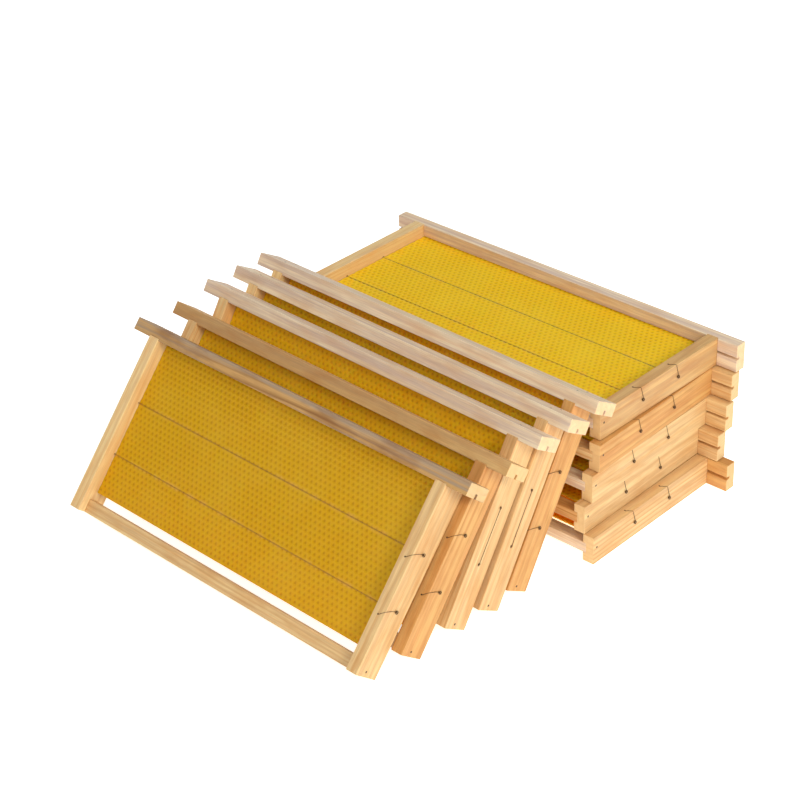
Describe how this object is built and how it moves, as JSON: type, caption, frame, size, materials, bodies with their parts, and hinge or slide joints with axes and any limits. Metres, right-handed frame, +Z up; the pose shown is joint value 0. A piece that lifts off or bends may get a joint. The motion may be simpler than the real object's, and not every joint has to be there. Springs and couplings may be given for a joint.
{
  "type": "langstroth hive frame set",
  "caption": "Pine Langstroth hive frames with wired, cell-embossed wax foundation, some in a flat pile and some leaning in a row; each lifts off the one it rests on.",
  "frame": {"origin": "on the table, under the middle of the bounding box", "axes": "+X along the top bars of the pile, +Y from the leaning row towards the pile, +Z up"},
  "size_m": [0.521, 0.5492, 0.1993],
  "materials": {
    "pine": "planed, unfinished, straight grain",
    "beeswax": "rolled wax with embossed cells, soft sheen",
    "steel_wire": "drawn steel, dulled"
  },
  "bodies": {
    "pile_frame_1": {"pile_frame_1_top_bar": "pine", "pile_frame_1_left_side_bar": "pine", "pile_frame_1_right_side_bar": "pine", "pile_frame_1_bottom_bar": "pine", "pile_frame_1_wax_foundation": "beeswax", "pile_frame_1_wire_and_nails": "steel_wire"},
    "pile_frame_2": {"pile_frame_2_top_bar": "pine", "pile_frame_2_left_side_bar": "pine", "pile_frame_2_right_side_bar": "pine", "pile_frame_2_bottom_bar": "pine", "pile_frame_2_wax_foundation": "beeswax", "pile_frame_2_wire_and_nails": "steel_wire"},
    "pile_frame_3": {"pile_frame_3_top_bar": "pine", "pile_frame_3_left_side_bar": "pine", "pile_frame_3_right_side_bar": "pine", "pile_frame_3_bottom_bar": "pine", "pile_frame_3_wax_foundation": "beeswax", "pile_frame_3_wire_and_nails": "steel_wire"},
    "pile_frame_4": {"pile_frame_4_top_bar": "pine", "pile_frame_4_left_side_bar": "pine", "pile_frame_4_right_side_bar": "pine", "pile_frame_4_bottom_bar": "pine", "pile_frame_4_wax_foundation": "beeswax", "pile_frame_4_wire_and_nails": "steel_wire"},
    "pile_frame_5": {"pile_frame_5_top_bar": "pine", "pile_frame_5_left_side_bar": "pine", "pile_frame_5_right_side_bar": "pine", "pile_frame_5_bottom_bar": "pine", "pile_frame_5_wax_foundation": "beeswax", "pile_frame_5_wire_and_nails": "steel_wire"},
    "row_frame_1": {"row_frame_1_top_bar": "pine", "row_frame_1_left_side_bar": "pine", "row_frame_1_right_side_bar": "pine", "row_frame_1_bottom_bar": "pine", "row_frame_1_wax_foundation": "beeswax", "row_frame_1_wire_and_nails": "steel_wire"},
    "row_frame_2": {"row_frame_2_top_bar": "pine", "row_frame_2_left_side_bar": "pine", "row_frame_2_right_side_bar": "pine", "row_frame_2_bottom_bar": "pine", "row_frame_2_wax_foundation": "beeswax", "row_frame_2_wire_and_nails": "steel_wire"},
    "row_frame_3": {"row_frame_3_top_bar": "pine", "row_frame_3_left_side_bar": "pine", "row_frame_3_right_side_bar": "pine", "row_frame_3_bottom_bar": "pine", "row_frame_3_wax_foundation": "beeswax", "row_frame_3_wire_and_nails": "steel_wire"},
    "row_frame_4": {"row_frame_4_top_bar": "pine", "row_frame_4_left_side_bar": "pine", "row_frame_4_right_side_bar": "pine", "row_frame_4_bottom_bar": "pine", "row_frame_4_wax_foundation": "beeswax", "row_frame_4_wire_and_nails": "steel_wire"},
    "row_frame_5": {"row_frame_5_top_bar": "pine", "row_frame_5_left_side_bar": "pine", "row_frame_5_right_side_bar": "pine", "row_frame_5_bottom_bar": "pine", "row_frame_5_wax_foundation": "beeswax", "row_frame_5_wire_and_nails": "steel_wire"}
  },
  "joints": [
    {"name": "pile_frame_2_lift", "type": "slide", "parent": "pile_frame_1", "child": "pile_frame_2", "axis": [0, 0, 1], "range_m": [0, 0.06]},
    {"name": "pile_frame_3_lift", "type": "slide", "parent": "pile_frame_2", "child": "pile_frame_3", "axis": [0, 0, 1], "range_m": [0, 0.06]},
    {"name": "pile_frame_4_lift", "type": "slide", "parent": "pile_frame_3", "child": "pile_frame_4", "axis": [0, 0, 1], "range_m": [0, 0.06]},
    {"name": "pile_frame_5_lift", "type": "slide", "parent": "pile_frame_4", "child": "pile_frame_5", "axis": [0, 0, 1], "range_m": [0, 0.06]},
    {"name": "row_frame_5_lift", "type": "slide", "parent": "pile_frame_5", "child": "row_frame_5", "axis": [0, 0, 1], "range_m": [0, 0.1]},
    {"name": "row_frame_4_lift", "type": "slide", "parent": "row_frame_5", "child": "row_frame_4", "axis": [0, 0, 1], "range_m": [0, 0.1]},
    {"name": "row_frame_3_lift", "type": "slide", "parent": "row_frame_4", "child": "row_frame_3", "axis": [0, 0, 1], "range_m": [0, 0.1]},
    {"name": "row_frame_2_lift", "type": "slide", "parent": "row_frame_3", "child": "row_frame_2", "axis": [0, 0, 1], "range_m": [0, 0.1]},
    {"name": "row_frame_1_lift", "type": "slide", "parent": "row_frame_2", "child": "row_frame_1", "axis": [0, 0, 1], "range_m": [0, 0.1]}
  ]
}
